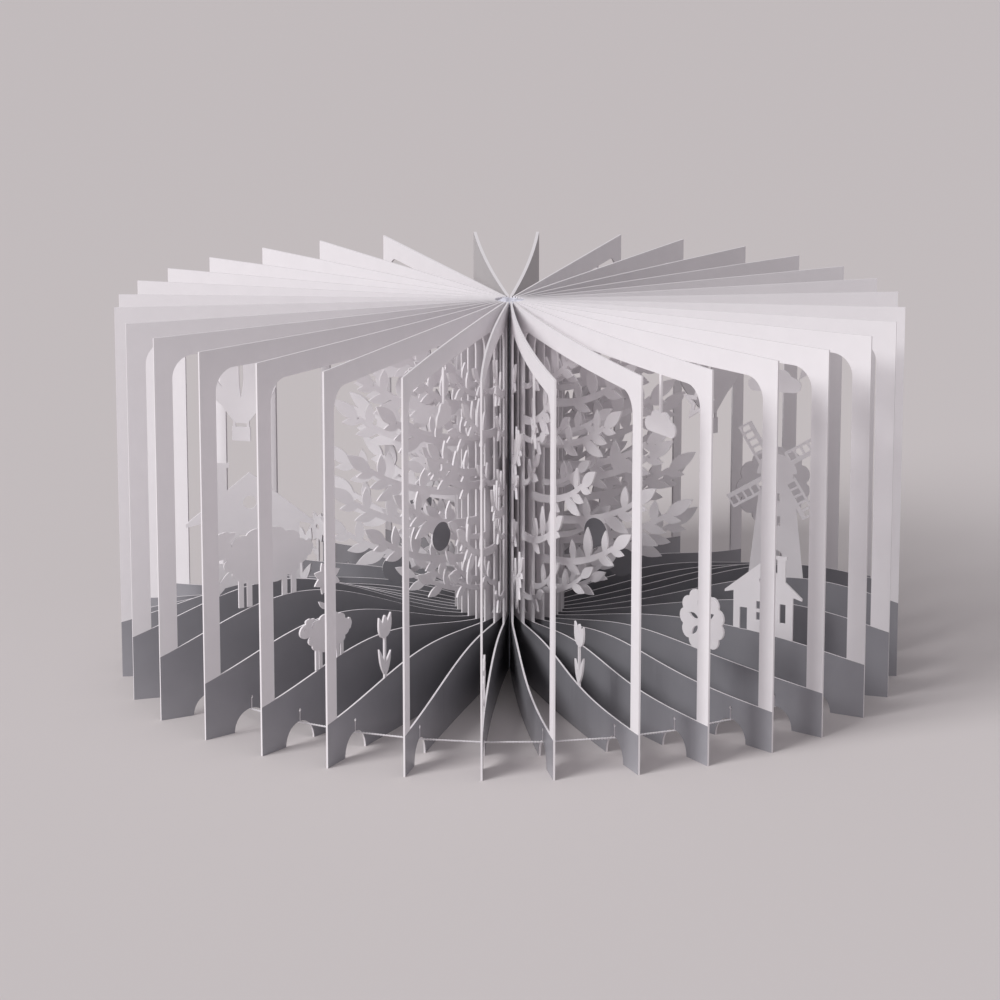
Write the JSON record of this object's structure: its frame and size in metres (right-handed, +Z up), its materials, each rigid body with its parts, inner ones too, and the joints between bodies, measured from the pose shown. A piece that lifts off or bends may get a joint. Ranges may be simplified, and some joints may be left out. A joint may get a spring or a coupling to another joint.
{
  "type": "pop up book",
  "caption": "Pop-up carousel book opened right round: die-cut card leaves stand out like spokes from a glued spine, held apart by a thread.",
  "frame": {"origin": "centre of the spine's foot, on the surface that the book stands on", "axes": "+Z up the spine; -Y towards the reader; +Y towards the gap between the two covers"},
  "size_m": [0.2153, 0.2155, 0.104],
  "materials": {
    "page_card": "matt uncoated white card, printed grey below the hill line",
    "cover_board": "matt off-white card",
    "spine_glue": "rough set glue, bluish white",
    "thread": "white thread"
  },
  "bodies": {
    "pages": {"spine_glue": "spine_glue", "page_leaf_01": "page_card", "page_leaf_02": "page_card", "page_leaf_03": "page_card", "page_leaf_04": "page_card", "page_leaf_05": "page_card", "page_leaf_06": "page_card", "page_leaf_07": "page_card", "page_leaf_08": "page_card", "page_leaf_09": "page_card", "page_leaf_10": "page_card", "page_leaf_11": "page_card", "page_leaf_12": "page_card", "page_leaf_13": "page_card", "page_leaf_14": "page_card", "page_leaf_15": "page_card", "page_leaf_16": "page_card", "page_leaf_17": "page_card", "page_leaf_18": "page_card", "page_leaf_19": "page_card", "page_leaf_20": "page_card", "page_leaf_21": "page_card", "page_leaf_22": "page_card", "page_leaf_23": "page_card", "page_leaf_24": "page_card", "page_leaf_25": "page_card", "page_leaf_26": "page_card", "page_leaf_27": "page_card", "page_leaf_28": "page_card", "page_leaf_29": "page_card", "page_leaf_30": "page_card", "spacer_thread": "thread"},
    "front_cover": {"front_cover": "cover_board"},
    "back_cover": {"back_cover": "cover_board"}
  },
  "joints": [
    {"name": "front_cover_hinge", "type": "hinge", "parent": "pages", "child": "front_cover", "pos_m": [-0.0004, 0.00405, 0], "axis": [0, 0, 1], "range_deg": [-4, 10]},
    {"name": "back_cover_hinge", "type": "hinge", "parent": "pages", "child": "back_cover", "pos_m": [0.0004, 0.00405, 0], "axis": [0, 0, 1], "range_deg": [-9, 4]}
  ]
}
